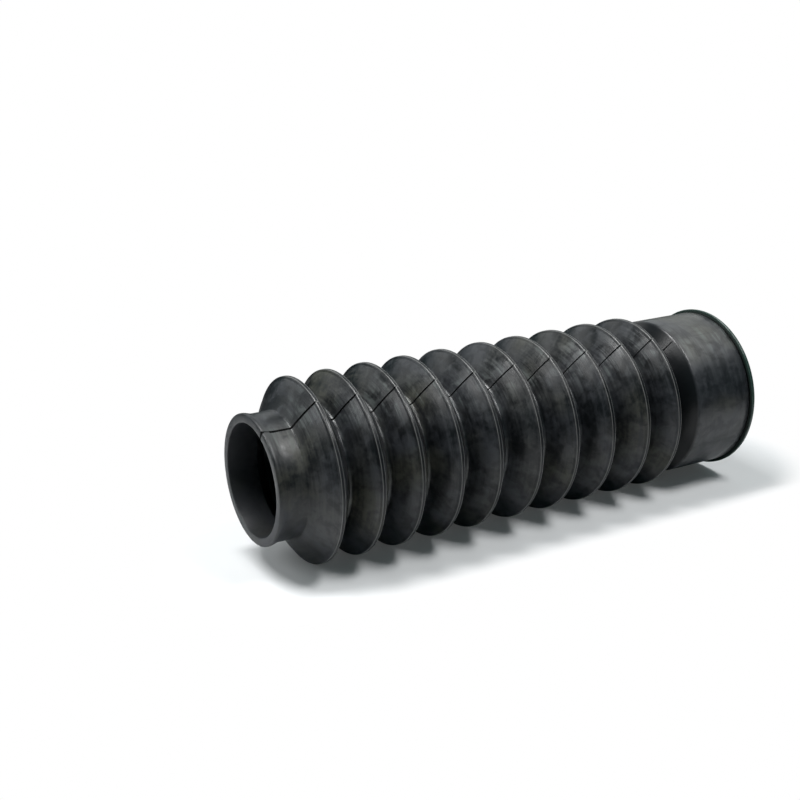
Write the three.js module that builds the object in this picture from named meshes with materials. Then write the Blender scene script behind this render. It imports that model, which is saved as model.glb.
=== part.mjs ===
// A fork gaiter: one moulded rubber bellows with a narrow cuff at the top and a wide cuff at the bottom.
// Lengths are in millimetres. The gaiter stands on its wide end, with its axis on Z.
import * as THREE from 'three';

// Bellows
const foldCount = 10;
const foldPitch = 16.3;
const crestRadius = 34;
const valleyRadius = 23.3;
const crestLand = 1.2;
const valleyLand = 1.3;
const innerCrestLand = 0.9;
const foldWall = 1.8;

// Narrow cuff, which a band clamps round the fork tube
const topBore = 41;
const topWall = 2.5;
const topCuffLength = 11.2;
const topLipWidth = 2.8;
const topLipRise = 0.8;

// Wide cuff, which goes over the top of the fork slider
const bottomBore = 58;
const bottomWall = 2.3;
const bottomCuffLength = 28.5;
const bottomLipWidth = 2.4;
const bottomLipRise = 0.7;
const shoulderToCrest = 12.1;
const shoulderRound = 1;

// Edges
const lipBevel = 0.4;
const segmentsAround = 56;

// What follows from the sizes above
const flankLength = (foldPitch - crestLand - valleyLand) / 2;
const flankSlope = (crestRadius - valleyRadius) / flankLength;
const flankStretch = Math.hypot(1, flankSlope);
const flankAngle = Math.atan(flankSlope);
const topRadius = topBore / 2 + topWall;
const bottomRadius = bottomBore / 2 + bottomWall;
const firstCrestHeight = bottomCuffLength + shoulderToCrest;
const lastCrestHeight = firstCrestHeight + (foldCount - 1) * foldPitch;
const topCuffBase = lastCrestHeight + crestLand / 2 + (crestRadius - topRadius) / flankSlope;
const totalHeight = topCuffBase + topCuffLength;

// The inside of a fold runs one wall below its outside, measured square to the flank.
const innerApexRadius = crestRadius + flankSlope * crestLand / 2 - foldWall * flankStretch;
const innerCrestRadius = innerApexRadius - flankSlope * innerCrestLand / 2;
const innerLandGrowth = 2 * foldWall * Math.tan(flankAngle / 2);

// The lowest valley lies between the wide cuff's shoulder and the first crest, with the same flank slope.
const lowFlanks = shoulderToCrest - crestLand / 2 - valleyLand;
const lowFlankAtCrest = (lowFlanks + (crestRadius - bottomRadius) / flankSlope) / 2;
const lowValleyRadius = crestRadius - flankSlope * lowFlankAtCrest;
const lowValleyHeight = firstCrestHeight - crestLand / 2 - lowFlankAtCrest - valleyLand / 2;

function point(radius, height) {
  return new THREE.Vector2(radius, height);
}

// The two ends of a short cylinder of the given width, from the bottom up.
function land(radius, height, width) {
  return [point(radius, height - width / 2), point(radius, height + width / 2)];
}

function crestHeights() {
  return Array.from({ length: foldCount }, (_, fold) => firstCrestHeight + fold * foldPitch);
}

// The valley under each crest: the lowest one is shallower than the rest.
function valleyUnder(crestHeight) {
  if (crestHeight === firstCrestHeight) {
    return { radius: lowValleyRadius, height: lowValleyHeight };
  }
  return { radius: valleyRadius, height: crestHeight - foldPitch / 2 };
}

function outerFolds() {
  return crestHeights().flatMap((crestHeight) => {
    const valley = valleyUnder(crestHeight);
    return [
      ...land(valley.radius, valley.height, valleyLand),
      ...land(crestRadius, crestHeight, crestLand),
    ];
  });
}

function innerFolds() {
  return crestHeights().flatMap((crestHeight) => {
    const valley = valleyUnder(crestHeight);
    return [
      ...land(valley.radius - foldWall, valley.height, valleyLand + innerLandGrowth),
      ...land(innerCrestRadius, crestHeight, innerCrestLand),
    ];
  });
}

// A bead round a cuff's open end. "away" is +1 where the cuff lies above its end and -1 where it lies below.
function lip(cuffRadius, endHeight, width, rise, away) {
  const radius = cuffRadius + rise;
  return [
    point(radius - lipBevel, endHeight),
    point(radius, endHeight + away * lipBevel),
    point(radius, endHeight + away * (width - rise)),
    point(cuffRadius, endHeight + away * width),
  ];
}

// The wide cuff's rounded shoulder, from the cuff's side into the lowest flank.
function shoulder() {
  const tangent = shoulderRound * Math.tan(flankAngle / 2);
  return [
    point(bottomRadius, bottomCuffLength - tangent),
    point(bottomRadius - tangent * Math.sin(flankAngle), bottomCuffLength + tangent * Math.cos(flankAngle)),
  ];
}

function outerSide() {
  return [
    ...lip(bottomRadius, 0, bottomLipWidth, bottomLipRise, 1),
    ...shoulder(),
    ...outerFolds(),
    point(topRadius, topCuffBase),
    ...lip(topRadius, totalHeight, topLipWidth, topLipRise, -1).reverse(),
  ];
}

// From the bottom up, like the outer side: the bore of each cuff and the inside of the folds between them.
function innerSide() {
  const boreRadius = { bottom: bottomBore / 2, top: topBore / 2 };
  const wallAlongAxis = foldWall * flankStretch / flankSlope;
  const shoulderInside = bottomCuffLength - wallAlongAxis + bottomWall / flankSlope;
  const topCuffInside = lastCrestHeight + (innerApexRadius - boreRadius.top) / flankSlope;
  return [
    point(boreRadius.bottom, 0),
    point(boreRadius.bottom, shoulderInside),
    ...innerFolds(),
    point(boreRadius.top, topCuffInside),
    point(boreRadius.top, totalHeight),
  ];
}

// Up the outside, down the inside and back to the start, turned once round the axis.
function gaiterGeometry() {
  const outside = outerSide();
  const outline = [...outside, ...innerSide().reverse(), outside[0].clone()];
  const geometry = new THREE.LatheGeometry(outline, segmentsAround);
  geometry.rotateX(Math.PI / 2);
  return geometry;
}

function blackRubber() {
  return new THREE.MeshStandardMaterial({ color: 0x2b2d2f, roughness: 0.6, metalness: 0 });
}

const gaiter = new THREE.Mesh(gaiterGeometry(), blackRubber());
gaiter.name = 'gaiter';

const forkGaiter = new THREE.Group();
forkGaiter.add(gaiter);

export default forkGaiter;
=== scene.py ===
"""A fork gaiter for a motorbike: one moulded rubber bellows, with its studio. It stands on its wide cuff."""
import math
from typing import NamedTuple

import bmesh
import bpy
from bpy.props import FloatProperty, FloatVectorProperty, IntProperty, PointerProperty
from mathutils import Matrix, Vector


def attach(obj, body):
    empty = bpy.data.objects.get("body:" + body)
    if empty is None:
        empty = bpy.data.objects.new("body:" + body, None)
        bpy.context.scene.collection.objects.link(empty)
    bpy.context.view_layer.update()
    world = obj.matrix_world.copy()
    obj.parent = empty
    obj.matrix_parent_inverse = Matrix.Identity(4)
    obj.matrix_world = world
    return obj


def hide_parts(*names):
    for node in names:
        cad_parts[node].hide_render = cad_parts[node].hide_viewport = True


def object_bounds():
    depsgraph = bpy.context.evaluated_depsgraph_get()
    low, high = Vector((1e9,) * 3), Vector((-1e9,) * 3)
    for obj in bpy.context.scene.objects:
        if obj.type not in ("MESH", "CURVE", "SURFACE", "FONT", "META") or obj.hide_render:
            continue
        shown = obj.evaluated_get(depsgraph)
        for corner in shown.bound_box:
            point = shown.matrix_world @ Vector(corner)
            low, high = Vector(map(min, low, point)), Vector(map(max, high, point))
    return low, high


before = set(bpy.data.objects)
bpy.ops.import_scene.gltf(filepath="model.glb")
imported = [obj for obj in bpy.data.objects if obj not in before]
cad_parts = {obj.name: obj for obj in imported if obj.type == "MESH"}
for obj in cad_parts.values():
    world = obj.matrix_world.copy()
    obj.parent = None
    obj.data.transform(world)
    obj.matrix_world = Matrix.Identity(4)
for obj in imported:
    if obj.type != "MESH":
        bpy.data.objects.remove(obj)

bl_info = {
    "name": "Fork Gaiter",
    "version": (1, 0, 0),
    "blender": (4, 5, 0),
    "location": "3D View > Sidebar > Gaiter",
    "description": "Models a moulded rubber fork gaiter and the studio that it is seen in",
    "category": "Add Mesh",
}

MM = 0.001
CAD_LOW, CAD_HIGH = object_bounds()

# The gaiter stands upright in its frame and is seen lying down, so the studio's floor is a plane beside it.
FLOOR_UP = Vector((1, -1, 0)).normalized()
ACROSS = Vector((1, 1, 0)).normalized()
ALONG = Vector((0, 0, 1))

# Settings


def srgb(code):
    """Turns an sRGB hex colour into the linear values that shaders and properties hold."""
    parts = [int(code[i : i + 2], 16) / 255 for i in (1, 3, 5)]
    return [c / 12.92 if c <= 0.04045 else ((c + 0.055) / 1.055) ** 2.4 for c in parts]


def length(name, description, millimetres):
    default = millimetres * MM
    return FloatProperty(name=name, description=description, default=default, precision=5, unit="LENGTH")


def angle(name, description, degrees):
    return FloatProperty(name=name, description=description, default=math.radians(degrees), subtype="ANGLE")


def power(name, description, watts):
    return FloatProperty(name=name, description=description, default=watts, unit="POWER")


def colour(name, description, code):
    default = srgb(code)
    return FloatVectorProperty(name=name, description=description, default=default, size=3, subtype="COLOR")


class GaiterFolds(bpy.types.PropertyGroup):
    count: IntProperty(name="Folds", description="Number of folds", default=10, min=1)
    crest_radius: length("Crest radius", "Outside radius of a crest", CAD_HIGH.x / MM)
    pitch: length("Pitch", "Distance from crest to crest", 16.3)
    valley_radius: length("Valley radius", "Outside radius of a valley", 23.3)
    crest_land: length("Crest width", "Width of a crest's rim along the axis", 1.2)
    crest_round: length("Crest rounding", "How far the rounding of a rim's edge reaches", 0.25)
    valley_land: length("Valley width", "Width of a valley's floor along the axis", 1.3)
    valley_round: length("Valley rounding", "How far the rounding of a valley's corner reaches", 0.62)
    wall: length("Wall", "Thickness of a fold's wall", 1.8)
    inner_crest_land: length("Inner crest width", "Width of a crest's floor, seen from the inside", 0.9)
    fullness: length("Fullness", "How far a flank's middle swells out", 0.25)
    rim_groove: length("Rim groove", "Depth of the fine groove beside a rim", 0.05)
    drift: FloatVectorProperty(
        name="Drift",
        description="How far each crest has settled towards the narrow cuff, from the narrow cuff down",
        default=[d * MM for d in (0, 0.7, 1.3, 1.5, 1.5, 0.1, 0.1, -0.3, -1.0, 0)],
        size=10,
        unit="LENGTH",
    )


class GaiterCuffs(bpy.types.PropertyGroup):
    total: length("Length", "Free length of the gaiter", CAD_HIGH.z / MM)
    narrow_bore: length("Narrow bore", "Bore radius of the narrow cuff", 20.5)
    narrow_radius: length("Narrow radius", "Outside radius of the narrow cuff", 23)
    narrow_length: length("Narrow length", "Length of the narrow cuff", 11.2)
    narrow_lip_width: length("Narrow lip width", "Width of the lip round the narrow mouth", 2.8)
    narrow_lip_rise: length("Narrow lip rise", "How far the narrow lip stands proud", 0.8)
    wide_bore: length("Wide bore", "Bore radius of the wide cuff", 29)
    wide_radius: length("Wide radius", "Outside radius of the wide cuff", 31.3)
    wide_length: length("Wide length", "Length of the wide cuff up to its shoulder", 28.5)
    wide_lip_width: length("Wide lip width", "Width of the lip round the wide mouth", 2.4)
    wide_lip_rise: length("Wide lip rise", "How far the wide lip stands proud", 1.2)
    lip_groove: length("Lip groove", "Depth of the groove between the wide cuff and its lip", 0.5)
    shoulder_round: length("Shoulder rounding", "How far the rounding of the wide shoulder reaches", 0.55)


class GaiterSeam(bpy.types.PropertyGroup):
    turn: angle("Turn", "Direction of the mould seam round the axis", -71.23)
    step: angle("Step", "Angle between the narrow columns beside the seam", 0.4)
    depth: length("Depth", "Depth of the seam's groove", 0.22)
    nib: length("Nib", "How far the flash stands proud where the seam crosses a crest", 0.2)
    notch: length("Notch", "Depth of the seam's notch in the rim of the narrow mouth", 0.6)
    columns: IntProperty(name="Columns", description="Steps from one seam to the other", default=96, min=8)


class GaiterFinish(bpy.types.PropertyGroup):
    rubber: colour("Rubber", "Clean black rubber", "#0e1012")
    bloom: colour("Bloom", "Rubber under a full bloom", "#282a2e")
    bloom_warm: colour("Warm bloom", "Bloom where mould release has browned it", "#34342d")
    # The seam colour paints dirt together with shade in the seam's groove, and paints only shade in the
    # groove behind the wide bead.
    seam: colour("Seam", "Dirt in the mould seam", "#050606")
    # The rim colour is partly rubbed wear and partly a painted highlight on the crests' rounded edges.
    rim: colour("Rim", "Rubber rubbed pale on the edges of the crests", "#545453")
    # The scuffs colour is a painted highlight in scuff-like strokes beside the seam.
    scuff_highlight: colour("Scuffs", "Rubber scuffed beside the mould seam", "#4a514f")
    bead: colour("Bead", "Rubber of the bead round the wide mouth", "#20362f")
    floor: colour("Floor", "Paper on the studio's floor", "#d8d9da")


class GaiterStudio(bpy.types.PropertyGroup):
    camera_up: length("Camera height", "Height of the camera over the gaiter's axis", 180.4)
    camera_across: length("Camera distance", "How far the camera stands in front of the axis", 399)
    camera_along: length("Camera along", "How far along the axis the camera stands, from the wide end", 378.3)
    camera_swing: angle("Camera swing", "How far the camera turns towards the wide end", 30.2)
    camera_tilt: angle("Camera tilt", "How far the camera looks down", 19.25)
    camera_lens: FloatProperty(name="Lens", description="Camera's focal length", default=60.28, unit="CAMERA")
    key_power: power("Key", "Power of the small lamp on the camera's side", 3.7)
    left_power: power("Left softbox", "Power of the softbox over the narrow end", 3.0)
    right_power: power("Right softbox", "Power of the softbox over the wide end", 3.1)
    top_power: power("Top", "Power of the long lamp overhead", 7.2)
    back_power: power("Back light", "Power of the light on the backdrop", 4.6)
    room: FloatProperty(name="Room", description="Strength of the room's own light", default=0.08, min=0)
    room_colour: colour("Room colour", "Cool light that the room's walls give back", "#9df0f6")


class GaiterSettings(bpy.types.PropertyGroup):
    folds: PointerProperty(type=GaiterFolds)
    cuffs: PointerProperty(type=GaiterCuffs)
    seam: PointerProperty(type=GaiterSeam)
    finish: PointerProperty(type=GaiterFinish)
    studio: PointerProperty(type=GaiterStudio)


def toward_seam(seam):
    """From the axis straight out to the mould seam."""
    return Vector((math.cos(seam.turn), math.sin(seam.turn), 0))


def aside_of_seam(seam):
    """Square to the seam's plane."""
    return Vector((-math.sin(seam.turn), math.cos(seam.turn), 0))


# Shader nodes

WHITE = (1, 1, 1)
BLACK = (0, 0, 0)


def add(tree, kind, inputs=(), **settings):
    """Adds a node with its settings. In inputs, a socket is linked and anything else is set as the value."""
    node = tree.nodes.new(kind)
    for name, value in settings.items():
        setattr(node, name, value)
    for key, value in dict(inputs).items():
        if isinstance(value, bpy.types.NodeSocket):
            tree.links.new(value, node.inputs[key])
        else:
            node.inputs[key].default_value = value
    return node


def new_tree(owner):
    owner.use_nodes = True
    owner.node_tree.nodes.clear()
    return owner.node_tree


def calc(tree, operation, *values):
    return add(tree, "ShaderNodeMath", dict(enumerate(values)), operation=operation).outputs[0]


def product(tree, first, *others):
    for other in others:
        first = calc(tree, "MULTIPLY", first, other)
    return first


def largest(tree, first, *others):
    for other in others:
        first = calc(tree, "MAXIMUM", first, other)
    return first


def dot(tree, first, second):
    return add(tree, "ShaderNodeVectorMath", {0: first, 1: second}, operation="DOT_PRODUCT").outputs["Value"]


def ramp(tree, value, start, end, low=0, high=1, smooth=False):
    """Runs from low, where the value is at start, to high at end, and stays level past them."""
    inputs = {"Value": value, "From Min": start, "From Max": end, "To Min": low, "To Max": high}
    kind = "SMOOTHSTEP" if smooth else "LINEAR"
    return add(tree, "ShaderNodeMapRange", inputs, interpolation_type=kind).outputs[0]


def blend(tree, share, first, second):
    return add(tree, "ShaderNodeMix", {0: share, 2: first, 3: second}).outputs[0]


def blend_colour(tree, share, first, second):
    """Mixes two colours, each of them a socket or three linear values."""
    first, second = (c if isinstance(c, bpy.types.NodeSocket) else (*c, 1) for c in (first, second))
    return add(tree, "ShaderNodeMix", {0: share, 6: first, 7: second}, data_type="RGBA").outputs[2]


def noise(tree, place, across, detail, distortion=0):
    """Noise with marks about as wide as across says."""
    inputs = {"Vector": place, "Scale": 1 / across, "Detail": detail, "Distortion": distortion}
    return add(tree, "ShaderNodeTexNoise", inputs).outputs["Fac"]


def bump(tree, height, strength, distance, **normal):
    inputs = {"Strength": strength, "Distance": distance, "Height": height}
    return add(tree, "ShaderNodeBump", {**inputs, **normal}).outputs[0]


def seen_by_camera(tree):
    """1 for a ray from the camera, also one that has passed through something clear, and 0 for the rest."""
    path = add(tree, "ShaderNodeLightPath").outputs
    return calc(tree, "MAXIMUM", path["Is Camera Ray"], path["Is Transmission Ray"])


# Rubber

# Turned lines and wiping strokes: how far apart they lie, and how often they break off round the gaiter
LINES_APART, LINES_BREAK = 0.9 * MM, 1.2
STROKES_APART, STROKES_BREAK = 3 * MM, 0.9
# How wide the marks of the other patterns are
CLOUD, PATCH, SPECK = 18 * MM, 5 * MM, 1.5 * MM
SMEAR, BROWNED, GRAIN = 9 * MM, 30 * MM, 0.5 * MM
# How high the relief stands, and how far from the seam the turned lines weaken
LINE_RELIEF, GRAIN_RELIEF = 0.09 * MM, 0.03 * MM
GRAIN_STRENGTH = 0.25
DRESSED_FULL, DRESSED_ENDS = 2 * MM, 16 * MM
# Hands have held the top side of the narrow end: heights over the axis, and shares of the gaiter's length
HANDLED_FROM, HANDLED_FULL = 8 * MM, 22 * MM
HELD_FROM, HELD_FULL, HELD_LEAST = 0.78, 0.92, 0.25
# How much of a full bloom is left, and how evenly it is worn on the wide cuff
WIPED_BLOOM, CUFF_BLOOM, INSIDE_BLOOM = 0.15, 0.6, 0.5
WORN_SHARE = 0.4
# How far from the seam the painted highlight in scuff-like strokes lies, and how much it and the bead's own
# colour cover
SEAM_HIGHLIGHT_FROM, SEAM_HIGHLIGHT_FULL = 14 * MM, 4 * MM
SEAM_HIGHLIGHT_SHARE, BEAD_SHARE = 0.7, 0.8
# The painted shade in the groove behind the bead, in widths of the lip: its middle, and how far from there it
# starts and is full
GROOVE_SHADE_AT, GROOVE_SHADE_FROM, GROOVE_SHADE_FULL = 0.82, 0.24, 0.16
# The seam's dark line, partly dirt and partly painted shade in its groove: how far from its middle it starts
# and is full, and how many times narrower than that it is at the wide shoulder and at the narrow mouth
SEAM_DIRT_SHADE_FROM, SEAM_DIRT_SHADE_FULL = 0.34 * MM, 0.2 * MM
SEAM_SQUEEZE = (1.25, 0.5)
# How much of that dark line of dirt and painted shade shows on the wide cuff and on the narrow lip
CLOSED_SEAM, LIP_SEAM = 0.25, 0.3
# Roughness from bare to bloomed, what handling adds to it, and the shine from clean to covered
ROUGHNESS = (0.28, 0.48)
HANDLED_ROUGHNESS = 0.38
SHINE = (0.5, 0.05)
# How much of the shine each of these takes
DULL_WIPED, DULL_SHADED_FOLD, DULL_LAND, DULL_BLOTCH, DULL_HANDLED = 0.4, 0.6, 0.6, 0.4, 0.24


class Surface(NamedTuple):
    """Sockets that say where a point of the rubber lies and which way it faces."""

    place: bpy.types.NodeSocket
    height: bpy.types.NodeSocket
    radius: bpy.types.NodeSocket
    outward: bpy.types.NodeSocket
    facing: bpy.types.NodeSocket
    off_seam: bpy.types.NodeSocket


class Marks(NamedTuple):
    """Sockets of the patterns on the rubber. The lines are plain noise, and the rest run from 0 to 1."""

    lines: bpy.types.NodeSocket
    lined: bpy.types.NodeSocket
    stroked: bpy.types.NodeSocket
    clouds: bpy.types.NodeSocket
    patches: bpy.types.NodeSocket
    specks: bpy.types.NodeSocket


def rubber_surface(tree, seam):
    place = add(tree, "ShaderNodeTexCoord").outputs["Object"]
    xyz = add(tree, "ShaderNodeSeparateXYZ", {0: place}).outputs
    flat = add(tree, "ShaderNodeCombineXYZ", {"X": xyz["X"], "Y": xyz["Y"]}).outputs[0]
    radius = add(tree, "ShaderNodeVectorMath", {0: flat}, operation="LENGTH").outputs["Value"]
    outward = add(tree, "ShaderNodeVectorMath", {0: flat}, operation="NORMALIZE").outputs[0]
    normal = add(tree, "ShaderNodeNewGeometry").outputs["Normal"]
    off_seam = calc(tree, "ABSOLUTE", dot(tree, place, aside_of_seam(seam)))
    return Surface(place, xyz["Z"], radius, outward, dot(tree, normal, outward), off_seam)


def turned_noise(tree, surface, apart, breaks):
    """Noise drawn out round the gaiter. Its marks lie apart along the axis and the radius."""
    turn = {0: surface.outward, "Scale": breaks}
    ring = add(tree, "ShaderNodeVectorMath", turn, operation="SCALE").outputs[0]
    rise = calc(tree, "MULTIPLY", surface.radius, 1 / apart)
    raised = add(tree, "ShaderNodeCombineXYZ", {"Z": rise}).outputs[0]
    spot = add(tree, "ShaderNodeVectorMath", {0: ring, 1: raised}, operation="ADD").outputs[0]
    step = calc(tree, "MULTIPLY", surface.height, 1 / apart)
    inputs = {"Vector": spot, "W": step, "Scale": 1, "Detail": 2, "Roughness": 0.6}
    return add(tree, "ShaderNodeTexNoise", inputs, noise_dimensions="4D").outputs["Fac"]


def rubber_marks(tree, surface):
    """Lines from the mould's turning, strokes from wiping, and three sizes of mottling."""
    lines = turned_noise(tree, surface, LINES_APART, LINES_BREAK)
    strokes = turned_noise(tree, surface, STROKES_APART, STROKES_BREAK)
    lined = ramp(tree, lines, start=0.4, end=0.62)
    stroked = ramp(tree, strokes, start=0.4, end=0.6)
    mottling = [
        ramp(tree, noise(tree, surface.place, across, detail=4, distortion=0.5), start, end, smooth=True)
        for across, start, end in ((CLOUD, 0.4, 0.62), (PATCH, 0.38, 0.64), (SPECK, 0.36, 0.64))
    ]
    return Marks(lines, lined, stroked, *mottling)


def wiped_bloom(tree, surface, cuffs):
    """Smears: hands have wiped the bloom off in dark patches, on the top of the narrow end."""
    smears = noise(tree, surface.place, SMEAR, detail=5, distortion=1)
    wiped = ramp(tree, smears, start=0.47, end=0.58)
    handled = ramp(tree, dot(tree, surface.place, FLOOR_UP), HANDLED_FROM, HANDLED_FULL)
    held = ramp(tree, surface.height, HELD_FROM * cuffs.total, HELD_FULL * cuffs.total, low=HELD_LEAST)
    return product(tree, wiped, handled, held)


def lowest_fold_shade(tree, surface, folds, cuffs):
    """The lowest fold, between the wide cuff's shoulder and the first crest: the mask for its painted shade.
    """
    shoulder, first_crest = cuffs.wide_length, crest_heights(folds, cuffs)[0]
    dark_from, dark_until = shoulder + 0.5 * MM, first_crest - 3 * MM
    over_cuff = ramp(tree, surface.height, shoulder, dark_from)
    under_crest = ramp(tree, surface.height, first_crest, dark_until)
    return product(tree, over_cuff, under_crest)


def bloom_amount(tree, surface, marks, cuffs, wiped, fold_shade, inside):
    """A cloudy grey bloom. It is even on the wide cuff and inside, and missing in the lowest fold, which is
    left black as painted shade.
    """
    bloom = marks.clouds
    finer = ((0.45, marks.patches), (0.3, marks.stroked), (0.2, marks.specks), (0.18, marks.lined))
    for share, layer in finer:
        bloom = blend(tree, share, bloom, layer)
    amount = blend(tree, wiped, ramp(tree, bloom, start=0.24, end=0.78), WIPED_BLOOM)
    shoulder, worn_until = cuffs.wide_length, cuffs.wide_length + 0.3 * MM
    worn = ramp(tree, surface.height, worn_until, shoulder, high=WORN_SHARE)
    amount = blend(tree, worn, amount, CUFF_BLOOM)
    # Painted shade: the lowest fold loses its bloom and stays black
    amount = blend(tree, fold_shade, amount, 0)
    return blend(tree, inside, amount, INSIDE_BLOOM)


def bloomed_rubber(tree, surface, amount, finish):
    """Black rubber under its grey bloom, which mould release has browned in places."""
    browned = ramp(tree, noise(tree, surface.place, BROWNED, detail=2), start=0.5, end=0.66)
    bloom = blend_colour(tree, browned, finish.bloom, finish.bloom_warm)
    return blend_colour(tree, amount, finish.rubber, bloom)


def highlights_by_seam(tree, surface, marks, open_air):
    """Pale strokes round the gaiter beside the seam: a painted highlight, laid out like scuffs."""
    beside = ramp(tree, surface.off_seam, SEAM_HIGHLIGHT_FROM, SEAM_HIGHLIGHT_FULL, high=SEAM_HIGHLIGHT_SHARE)
    return product(tree, marks.lined, marks.stroked, marks.patches, beside, open_air)


def crest_rims(tree, surface, folds):
    """The two rounded edges of each crest, which get a pale colour that is partly wear and partly painted
    highlight, and the land between them.
    """
    rim_foot, rim_full = folds.crest_radius - 0.2 * MM, folds.crest_radius - 0.12 * MM
    on_crest = ramp(tree, surface.radius, rim_foot, rim_full)
    edge = product(tree, on_crest, ramp(tree, surface.facing, start=0.99, end=0.94))
    between = calc(tree, "SUBTRACT", on_crest, edge)
    return edge, product(tree, between, DULL_LAND)


def lip_groove_shade(tree, surface, cuffs):
    """Painted shade darkens the groove between the wide cuff and its bead."""
    width = cuffs.wide_lip_width
    off_groove = calc(tree, "ABSOLUTE", calc(tree, "SUBTRACT", surface.height, GROOVE_SHADE_AT * width))
    return ramp(tree, off_groove, GROOVE_SHADE_FROM * width, GROOVE_SHADE_FULL * width)


def seam_dirt_and_shade(tree, surface, folds, cuffs, seam):
    """A dark line in the seam, partly dirt and partly painted shade in its groove, wider towards the narrow
    cuff and almost closed on the wide one.

    It stops at the crests' rims, is faint on the narrow lip and runs into the notch in the mouth's rim.
    """
    height, shoulder, top = surface.height, cuffs.wide_length, cuffs.total
    rim_stop, rim_clear = folds.crest_radius - 0.1 * MM, folds.crest_radius - 0.4 * MM
    lip_foot = top - cuffs.narrow_lip_width
    notch_foot, notch_full = top - 0.6 * MM, top - 0.3 * MM
    squeeze = ramp(tree, height, shoulder, top, *SEAM_SQUEEZE)
    squeezed = product(tree, surface.off_seam, squeeze)
    line = ramp(tree, squeezed, SEAM_DIRT_SHADE_FROM, SEAM_DIRT_SHADE_FULL, smooth=True)
    outside = ramp(tree, surface.facing, start=0.2, end=0.4)
    opened = ramp(tree, height, shoulder, shoulder + 1 * MM, low=CLOSED_SEAM)
    below_rim = ramp(tree, surface.radius, rim_stop, rim_clear)
    below_lip = ramp(tree, height, lip_foot, lip_foot - 0.3 * MM, low=LIP_SEAM)
    notched_side = calc(tree, "GREATER_THAN", dot(tree, surface.place, toward_seam(seam)), 0)
    in_notch = product(tree, ramp(tree, height, notch_foot, notch_full), notched_side)
    crossing = largest(tree, outside, in_notch)
    clear = largest(tree, below_lip, in_notch)
    return product(tree, line, crossing, opened, below_rim, clear)


def rubber_relief(tree, surface, marks, open_air):
    """The turned lines stand out most beside the seam, where the mould was dressed, over a fine grain."""
    dressed = ramp(tree, surface.off_seam, DRESSED_FULL, DRESSED_ENDS, low=1, high=0.2, smooth=True)
    lines = bump(tree, marks.lines, product(tree, dressed, open_air), LINE_RELIEF)
    grain = noise(tree, surface.place, GRAIN, detail=2)
    return bump(tree, grain, GRAIN_STRENGTH, GRAIN_RELIEF, Normal=lines)


def moulded_rubber(settings):
    """Black rubber from a steel mould: satin, with a cloudy grey bloom, fine turned lines and a dark seam."""
    finish, seam, folds, cuffs = settings.finish, settings.seam, settings.folds, settings.cuffs
    material = bpy.data.materials.new("moulded_black_rubber")
    tree = new_tree(material)
    surface = rubber_surface(tree, seam)
    marks = rubber_marks(tree, surface)

    wiped = wiped_bloom(tree, surface, cuffs)
    fold_shade = lowest_fold_shade(tree, surface, folds, cuffs)
    inside = ramp(tree, surface.facing, start=-0.2, end=-0.5)
    open_air = calc(tree, "SUBTRACT", 1, largest(tree, fold_shade, inside))
    amount = bloom_amount(tree, surface, marks, cuffs, wiped, fold_shade, inside)
    edge, land = crest_rims(tree, surface, folds)
    bead = ramp(tree, surface.height, cuffs.wide_lip_width, 0.6 * cuffs.wide_lip_width, high=BEAD_SHARE)
    groove_shade = lip_groove_shade(tree, surface, cuffs)
    seam_dirt_and_shade_mask = seam_dirt_and_shade(tree, surface, folds, cuffs, seam)

    face = bloomed_rubber(tree, surface, amount, finish)
    for share, over in (
        # Painted highlight in scuff-like strokes beside the seam
        (highlights_by_seam(tree, surface, marks, open_air), finish.scuff_highlight),
        (land, finish.rubber),
        # Pale crest edges: partly rubbed wear, partly painted highlight
        (edge, finish.rim),
        (bead, finish.bead),
        # Painted shade in the groove behind the wide bead
        (groove_shade, finish.seam),
        # The seam's dark line: dirt together with painted shade in its groove
        (seam_dirt_and_shade_mask, finish.seam),
    ):
        face = blend_colour(tree, share, face, over)

    # Hands have dulled the narrow cuff, and mould release has dulled the rubber between the patches of bloom.
    cuff_foot = cuffs.total - cuffs.narrow_length
    fingered_from = cuff_foot - 8 * MM
    fingered = ramp(tree, surface.height, fingered_from, cuff_foot, high=DULL_HANDLED)
    blotched = ramp(tree, marks.patches, 1, 0, high=DULL_BLOTCH)
    roughness = calc(tree, "MULTIPLY_ADD", fingered, HANDLED_ROUGHNESS, ramp(tree, amount, 0, 1, *ROUGHNESS))
    wiped_dull = product(tree, wiped, DULL_WIPED)
    fold_shade_dull = product(tree, fold_shade, DULL_SHADED_FOLD)
    covered = largest(tree, wiped_dull, seam_dirt_and_shade_mask, groove_shade, fold_shade_dull, fingered, land, blotched)
    inputs = {
        "Base Color": face,
        "Roughness": roughness,
        "Normal": rubber_relief(tree, surface, marks, open_air),
        "IOR": 1.5,
        "Specular IOR Level": ramp(tree, covered, 0, 1, *SHINE),
    }
    shader = add(tree, "ShaderNodeBsdfPrincipled", inputs)
    add(tree, "ShaderNodeOutputMaterial", {"Surface": shader.outputs[0]})
    return material


# Paper

# Distances from the gaiter's axis. Past the first pair the camera sees plain white, and past the second
# the gaiter reflects the dark room beyond the sheet.
SHADOW_FADES, SHADOW_GONE = 47 * MM, 60 * MM
SHEET_FADES, SHEET_ENDS = 120 * MM, 250 * MM
FADE_SHORT_OF_MOUTH = 14 * MM
# Even beside the gaiter the camera sees this share of white glow on the paper, which lightens the gaiter's
# shadow
LEAST_WHITE = 0.04


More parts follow.
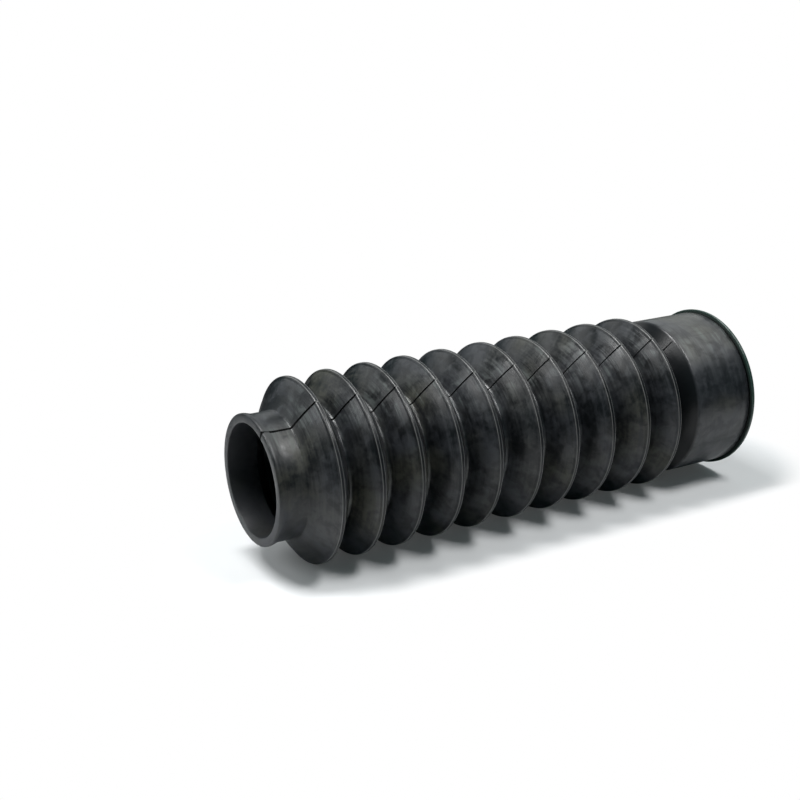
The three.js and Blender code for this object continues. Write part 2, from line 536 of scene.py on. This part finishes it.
def paper_floor(finish):
    """White background paper: matt, so that it keeps a soft shadow. From behind it can be seen through."""
    material = bpy.data.materials.new("white_background_paper")
    tree = new_tree(material)
    place = add(tree, "ShaderNodeTexCoord").outputs["Object"]
    along = add(tree, "ShaderNodeSeparateXYZ", {0: place}).outputs["Z"]
    ends = {"Min": 0, "Max": CAD_HIGH.z - FADE_SHORT_OF_MOUTH}
    nearest = add(tree, "ShaderNodeClamp", {"Value": along, **ends}).outputs[0]
    axis = add(tree, "ShaderNodeCombineXYZ", {"Z": nearest}).outputs[0]
    away = add(tree, "ShaderNodeVectorMath", {0: place, 1: axis}, operation="DISTANCE").outputs["Value"]
    far = ramp(tree, away, SHADOW_FADES, SHADOW_GONE, low=LEAST_WHITE, smooth=True)
    sheet = ramp(tree, away, SHEET_ENDS, SHEET_FADES)
    seen = seen_by_camera(tree)
    paper = add(tree, "ShaderNodeBsdfDiffuse", {"Color": blend_colour(tree, sheet, BLACK, finish.floor)})
    white = add(tree, "ShaderNodeEmission", {"Color": (*WHITE, 1), "Strength": seen})
    faded = product(tree, far, seen)
    front = add(tree, "ShaderNodeMixShader", {0: faded, 1: paper.outputs[0], 2: white.outputs[0]})
    back = add(tree, "ShaderNodeBsdfTransparent")
    behind = add(tree, "ShaderNodeNewGeometry").outputs["Backfacing"]
    shader = add(tree, "ShaderNodeMixShader", {0: behind, 1: front.outputs[0], 2: back.outputs[0]})
    add(tree, "ShaderNodeOutputMaterial", {"Surface": shader.outputs[0]})
    return material


# Stage


def staged(up, across, along):
    """A point of the studio: its height over the gaiter's axis, its place across the axis and along it."""
    return FLOOR_UP * up + ACROSS * across + ALONG * along


def aim(thing, place, direction, upwards):
    """Puts a camera or lamp at a place, looking along a direction, with its top towards upwards."""
    back = -direction.normalized()
    right = upwards.cross(back).normalized()
    turned = Matrix((right, back.cross(right), back)).transposed().to_4x4()
    thing.matrix_world = Matrix.Translation(place) @ turned


def add_camera(studio):
    bpy.ops.object.camera_add()
    camera = bpy.context.object
    camera.name = "camera"
    bpy.context.scene.camera = camera
    camera.data.lens = studio.camera_lens
    camera.data.sensor_width = 36
    camera.data.clip_start, camera.data.clip_end = 0.01, 50
    level = math.cos(studio.camera_tilt)
    across, along = level * math.cos(studio.camera_swing), -level * math.sin(studio.camera_swing)
    look = staged(-math.sin(studio.camera_tilt), across, along)
    aim(camera, staged(studio.camera_up, -studio.camera_across, studio.camera_along), look, FLOOR_UP)


def add_softbox(name, up, across, along, width, height, watts, upwards=FLOOR_UP):
    """Adds a flat soft lamp, placed in metres from the gaiter's middle and facing it."""
    middle = staged(0, 0, CAD_HIGH.z / 2)
    place = staged(up, across, along)
    bpy.ops.object.light_add(type="AREA")
    lamp = bpy.context.object
    lamp.name = name
    lamp.data.shape = "RECTANGLE"
    lamp.data.size, lamp.data.size_y = width, height
    lamp.data.energy = watts
    lamp.visible_camera = False
    aim(lamp, middle + place, -place, upwards)
    return lamp


def add_lamps(studio):
    key = {"up": 0.62, "across": -0.27, "along": -0.18}
    left = {"up": 0.57, "across": 0.17, "along": 0.88}
    top = {"up": 0.7, "across": 0.15, "along": 0.27}
    right = {"up": 0.6, "across": 0.06, "along": -0.4}
    back = {"up": 0.45, "across": 1.0, "along": 0}
    add_softbox("key_lamp", **key, width=0.2, height=0.2, watts=studio.key_power)
    add_softbox("left_softbox", **left, width=0.46, height=0.4, watts=studio.left_power)
    add_softbox("top_lamp", **top, width=0.45, height=0.14, watts=studio.top_power, upwards=ACROSS)
    shine_only = add_softbox("right_softbox", **right, width=0.8, height=0.66, watts=studio.right_power)
    shine_only.visible_diffuse = False
    add_softbox("back_light", **back, width=3.0, height=0.34, watts=studio.back_power)


def light_room(studio):
    """A dim cool room lights the gaiter, and the camera sees plain white."""
    world = bpy.data.worlds.new("studio_room")
    bpy.context.scene.world = world
    tree = new_tree(world)
    seen = seen_by_camera(tree)
    strength = blend(tree, seen, studio.room, 1)
    light = blend_colour(tree, seen, studio.room_colour, WHITE)
    background = add(tree, "ShaderNodeBackground", {"Color": light, "Strength": strength})
    add(tree, "ShaderNodeOutputWorld", {"Surface": background.outputs[0]})


FLOOR_SIZE = 24


def add_floor(settings):
    bpy.ops.object.select_all(action="DESELECT")
    bpy.ops.mesh.primitive_plane_add(size=FLOOR_SIZE)
    floor = bpy.context.object
    floor.name = "floor"
    aim(floor, staged(-settings.folds.crest_radius, 0, 0), -FLOOR_UP, ALONG)
    bpy.ops.object.transform_apply(location=True, rotation=True, scale=False)
    floor.data.materials.append(paper_floor(settings.finish))


class GAITER_OT_stage(bpy.types.Operator):
    """Adds the camera, the lamps, the room and the floor"""

    bl_idname = "gaiter.stage"
    bl_label = "Stage"

    def execute(self, context):
        settings = context.scene.gaiter
        add_camera(settings.studio)
        context.scene.view_settings.view_transform = "Standard"
        add_lamps(settings.studio)
        light_room(settings.studio)
        add_floor(settings)
        return {"FINISHED"}


# Gaiter

# How far the roundings of the section's small corners reach
HAIR_ROUND = 0.1 * MM
WIDE_BORE_ROUND = 0.25 * MM
LIP_ROUND = 0.3 * MM
INNER_CREST_ROUND = 0.4 * MM
NARROW_LIP_ROUND = 0.45 * MM
MOUTH_ROUND = 0.5 * MM
THROAT_ROUND = 0.5 * MM
INNER_VALLEY_ROUND = 0.8 * MM
FLARE_ROUND = 0.9 * MM

# These corners are cut off with one face, because they are tiny or hidden. The rest are rounded with three.
CUT_OFF = (HAIR_ROUND, INNER_CREST_ROUND, INNER_VALLEY_ROUND)
ROUNDED_FACES = 3

# The fine groove beside a rim, as distances down the flank, past a flat stretch that the rounding needs
RIM_FLAT = 0.5 * MM
RIM_GROOVE_STARTS, RIM_GROOVE_LOWEST, RIM_GROOVE_ENDS = 0.78 * MM, 1.0 * MM, 1.25 * MM
FLANK_STEPS = (0.27, 0.45, 0.62, 0.8)

MERGED = 0.005 * MM
SAME_PLACE = 0.003 * MM


def flank_slope(folds):
    run = (folds.pitch - folds.crest_land - folds.valley_land) / 2
    return (folds.crest_radius - folds.valley_radius) / run


def crest_heights(folds, cuffs):
    """Heights of the crests from the wide cuff up, with each one's drift."""
    top_flank = (folds.crest_radius - cuffs.narrow_radius) / flank_slope(folds)
    last = cuffs.total - cuffs.narrow_length - top_flank - folds.crest_land / 2
    down = [last - i * folds.pitch + folds.drift[i] for i in range(folds.count)]
    return down[::-1]


def lowest_valley(folds, cuffs, crest):
    """Radius and height of the valley between the wide cuff's shoulder and the first crest."""
    slope = flank_slope(folds)
    room = crest - cuffs.wide_length - folds.crest_land / 2 - folds.valley_land
    below_crest = (room + (folds.crest_radius - cuffs.wide_radius) / slope) / 2
    height = crest - folds.crest_land / 2 - below_crest - folds.valley_land / 2
    return folds.crest_radius - slope * below_crest, height


def fold_turns(folds, cuffs):
    """Each valley and the crest over it, from the wide cuff up, as (radius, height) pairs."""
    crests = crest_heights(folds, cuffs)
    valleys = [lowest_valley(folds, cuffs, crests[0])]
    valleys += [(folds.valley_radius, (low + high) / 2) for low, high in zip(crests, crests[1:])]
    return [(valley, (folds.crest_radius, crest)) for valley, crest in zip(valleys, crests)]


def flank_points(folds, rim, foot):
    """Points down a flank from a crest's rim to a valley: the fine groove, then a slightly full side."""
    (rim_radius, rim_height), (foot_radius, foot_height) = rim, foot
    run = math.hypot(foot_radius - rim_radius, foot_height - rim_height)
    down_radius, down_height = (foot_radius - rim_radius) / run, (foot_height - rim_height) / run
    side = 1 if down_height > 0 else -1
    out_radius, out_height = side * down_height, -side * down_radius
    groove = ((RIM_GROOVE_STARTS, 0), (RIM_GROOVE_LOWEST, -folds.rim_groove), (RIM_GROOVE_ENDS, 0))
    shape = [(RIM_FLAT, 0), *groove]
    shape += [(run * t, 4 * folds.fullness * t * (1 - t)) for t in FLANK_STEPS]
    radii = [rim_radius + down_radius * down + out_radius * out for down, out in shape]
    heights = [rim_height + down_height * down + out_height * out for down, out in shape]
    return [(radius, height, 0) for radius, height in zip(radii, heights)]


def wide_cuff_corners(cuffs):
    """The wide cuff's outside from its mouth up: the bead, the groove behind it, and the cuff."""
    wide, lip = cuffs.wide_radius, cuffs.wide_lip_width
    bead = wide + cuffs.wide_lip_rise
    root = wide - cuffs.lip_groove
    bead_low, bead_high, groove_low, groove_high, cuff_low = (lip * t for t in (0.28, 0.6, 0.66, 0.9, 0.98))
    rings = (lip * 2.5, cuffs.wide_length * 0.6)
    return [
        (bead - LIP_ROUND, 0, LIP_ROUND),
        (bead, bead_low, LIP_ROUND),
        (bead, bead_high, LIP_ROUND),
        (root, groove_low, HAIR_ROUND),
        (root, groove_high, HAIR_ROUND),
        (wide, cuff_low, HAIR_ROUND),
        *((wide, ring, 0) for ring in rings),
        (wide, cuffs.wide_length, cuffs.shoulder_round),
    ]


def narrow_cuff_corners(cuffs):
    """The narrow cuff's outside from its foot up: the clamp's track, then the lip, flared to the mouth."""
    top, narrow, lip = cuffs.total, cuffs.narrow_radius, cuffs.narrow_lip_width
    proud = narrow + cuffs.narrow_lip_rise
    ring, flare_low, flare_high = (top - lip * t for t in (2, 1.4, 0.42))
    return [
        (narrow, top - cuffs.narrow_length, NARROW_LIP_ROUND),
        (narrow, ring, 0),
        (narrow, flare_low, FLARE_ROUND),
        (proud, flare_high, NARROW_LIP_ROUND),
        (proud - 0.1 * MM, top, MOUTH_ROUND),
    ]


def outside_corners(folds, cuffs):
    """The section's outside from the wide mouth up, as (radius, height, reach of the rounding)."""
    corners = wide_cuff_corners(cuffs)
    half_crest, half_valley = folds.crest_land / 2, folds.valley_land / 2
    turns = fold_turns(folds, cuffs)
    feet_above = [(radius, height - half_valley) for (radius, height), _ in turns[1:]]
    feet_above.append((cuffs.narrow_radius, cuffs.total - cuffs.narrow_length))
    for ((valley_radius, valley), (crest_radius, crest)), foot_above in zip(turns, feet_above):
        foot_below = (valley_radius, valley + half_valley)
        rim_low = (crest_radius, crest - half_crest)
        rim_high = (crest_radius, crest + half_crest)
        corners.append((valley_radius, valley - half_valley, folds.valley_round))
        corners.append((*foot_below, folds.valley_round))
        corners += flank_points(folds, rim_low, foot_below)[::-1]
        corners.append((*rim_low, folds.crest_round))
        corners.append((*rim_high, folds.crest_round))
        corners += flank_points(folds, rim_high, foot_above)
    return corners + narrow_cuff_corners(cuffs)


def inside_corners(folds, cuffs):
    """The section's inside from the narrow mouth down, in the same form, one wall inside the folds."""
    slope = flank_slope(folds)
    stretch = math.hypot(1, slope)
    apex = folds.crest_radius + slope * folds.crest_land / 2 - folds.wall * stretch
    half_crest = folds.inner_crest_land / 2
    crest_radius = apex - slope * half_crest
    half_valley = folds.valley_land / 2 + folds.wall * math.tan(math.atan(slope) / 2)
    turns = fold_turns(folds, cuffs)
    last_crest = turns[-1][1][1]
    corners = [
        (cuffs.narrow_bore, cuffs.total, LIP_ROUND),
        (cuffs.narrow_bore, last_crest + (apex - cuffs.narrow_bore) / slope, THROAT_ROUND),
    ]
    for (valley_radius, valley), (_, crest) in reversed(turns):
        corners.append((crest_radius, crest + half_crest, INNER_CREST_ROUND))
        corners.append((crest_radius, crest - half_crest, INNER_CREST_ROUND))
        corners.append((valley_radius - folds.wall, valley + half_valley, INNER_VALLEY_ROUND))
        corners.append((valley_radius - folds.wall, valley - half_valley, INNER_VALLEY_ROUND))
    wall_along = folds.wall * stretch / slope
    shoulder = cuffs.wide_length - wall_along + (cuffs.wide_radius - cuffs.wide_bore) / slope
    return corners + [(cuffs.wide_bore, shoulder, THROAT_ROUND), (cuffs.wide_bore, 0, WIDE_BORE_ROUND)]


def edited_mesh():
    mesh = bmesh.from_edit_mesh(bpy.context.object.data)
    mesh.verts.ensure_lookup_table()
    return mesh


def select_where(test):
    """In edit mode, selects the vertices that pass the test and says how many they are."""
    bpy.ops.mesh.select_all(action="DESELECT")
    mesh = edited_mesh()
    found = [v for v in mesh.verts if test(v)]
    for v in found:
        v.select = True
    mesh.select_flush_mode()
    return len(found)


def draw_section(outside, inside, turn):
    """Draws the section as a closed wire on the seam's plane, up the outside and down the inside."""
    corners = outside + inside
    places = [Vector((r * math.cos(turn), r * math.sin(turn), z)) for r, z, _ in corners]
    bpy.ops.object.select_all(action="DESELECT")
    bpy.ops.mesh.primitive_plane_add(size=MM, location=places[0])
    bpy.ops.object.transform_apply(location=True, rotation=False, scale=False)
    bpy.context.tool_settings.mesh_select_mode = (True, False, False)
    bpy.ops.object.mode_set(mode="EDIT")
    bpy.ops.mesh.merge(type="CENTER")
    for here, there in zip(places, places[1:] + places[:1]):
        bpy.ops.mesh.extrude_region_move(TRANSFORM_OT_translate={"value": there - here})
    bpy.ops.mesh.select_all(action="SELECT")
    bpy.ops.mesh.remove_doubles(threshold=MERGED)

    def at(wanted):
        return lambda v: any((v.co - p).length < SAME_PLACE for p in wanted)

    bpy.context.object.vertex_groups.new(name="outside")
    select_where(at(places[: len(outside)]))
    bpy.ops.object.vertex_group_assign()
    for reach in sorted({c[2] for c in corners if c[2] > 0}):
        wanted = [p for p, c in zip(places, corners) if c[2] == reach]
        if select_where(at(wanted)) != len(wanted):
            raise RuntimeError("a corner of the section is missing")
        faces = 1 if reach in CUT_OFF else ROUNDED_FACES
        bpy.ops.mesh.bevel(offset_type="OFFSET", offset=reach, segments=faces, affect="VERTICES", profile=0.5)


def spin_section(seam):
    """Turns the section once round the axis, with two narrow columns on each side of both seams."""
    bpy.ops.mesh.select_all(action="SELECT")
    beside = 2
    sector = (math.pi - 2 * beside * seam.step, seam.columns)
    half_seam = (beside * seam.step, beside)
    whole_seam = (2 * beside * seam.step, 2 * beside)
    for turn, steps in (half_seam, sector, whole_seam, sector, half_seam):
        bpy.ops.mesh.spin(steps=steps, angle=turn, center=(0, 0, 0), axis=(0, 0, 1))
    bpy.ops.mesh.select_all(action="SELECT")
    bpy.ops.mesh.remove_doubles(threshold=MERGED)
    bpy.ops.mesh.normals_make_consistent(inside=False)


def cut_seam(folds, cuffs, seam):
    """Sinks the seam into the outside, raises a nib of flash on each crest and notches the mouth's rim."""
    aside, toward = aside_of_seam(seam), toward_seam(seam)
    outside = bpy.context.object.vertex_groups["outside"].index
    mesh = edited_mesh()
    weights = mesh.verts.layers.deform.verify()
    folds_start = cuffs.wide_length + 0.6 * MM
    sunken_crest = folds.crest_radius - seam.depth - 0.05 * MM
    mouth_rim = cuffs.total - 0.75 * MM
    middle_column, notch_columns = 0.02 * MM, 0.25 * MM

    def in_groove(v):
        return outside in v[weights] and abs(v.co.dot(aside)) < middle_column and v.co.z > folds_start

    def on_crest(v):
        return in_groove(v) and math.hypot(v.co.x, v.co.y) > sunken_crest

    def in_notch(v):
        return abs(v.co.dot(aside)) < notch_columns and v.co.dot(toward) > 0 and v.co.z > mouth_rim

    select_where(in_groove)
    bpy.ops.transform.shrink_fatten(value=-seam.depth)
    select_where(on_crest)
    bpy.ops.transform.shrink_fatten(value=seam.depth + seam.nib)
    select_where(in_notch)
    bpy.ops.transform.translate(value=(0, 0, -seam.notch))


class GAITER_OT_gaiter(bpy.types.Operator):
    """Models the gaiter from its section and gives it its rubber"""

    bl_idname = "gaiter.gaiter"
    bl_label = "Gaiter"

    def execute(self, context):
        settings = context.scene.gaiter
        folds, cuffs, seam = settings.folds, settings.cuffs, settings.seam
        draw_section(outside_corners(folds, cuffs), inside_corners(folds, cuffs), seam.turn)
        spin_section(seam)
        cut_seam(folds, cuffs, seam)
        bpy.ops.object.mode_set(mode="OBJECT")
        gaiter = context.object
        gaiter.name = "fork_gaiter"
        bpy.ops.object.shade_smooth_by_angle(angle=math.radians(50))
        gaiter.data.materials.append(moulded_rubber(settings))
        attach(gaiter, "root")
        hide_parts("gaiter")
        return {"FINISHED"}


class GAITER_PT_panel(bpy.types.Panel):
    bl_idname = "GAITER_PT_panel"
    bl_label = "Fork Gaiter"
    bl_space_type = "VIEW_3D"
    bl_region_type = "UI"
    bl_category = "Gaiter"

    def draw(self, context):
        settings = context.scene.gaiter
        for operator in OPERATORS:
            self.layout.operator(operator.bl_idname)
        for group in (settings.folds, settings.cuffs, settings.seam, settings.finish, settings.studio):
            box = self.layout.box()
            for name in group.bl_rna.properties.keys():
                if name not in ("rna_type", "name"):
                    box.prop(group, name)


GROUPS = (GaiterFolds, GaiterCuffs, GaiterSeam, GaiterFinish, GaiterStudio, GaiterSettings)
OPERATORS = (GAITER_OT_stage, GAITER_OT_gaiter)
CLASSES = (*GROUPS, *OPERATORS, GAITER_PT_panel)


def register():
    for cls in CLASSES:
        bpy.utils.register_class(cls)
    bpy.types.Scene.gaiter = PointerProperty(type=GaiterSettings)


def unregister():
    del bpy.types.Scene.gaiter
    for cls in reversed(CLASSES):
        bpy.utils.unregister_class(cls)


def main():
    register()
    bpy.ops.gaiter.stage()
    bpy.ops.gaiter.gaiter()


if __name__ == "__main__":
    main()
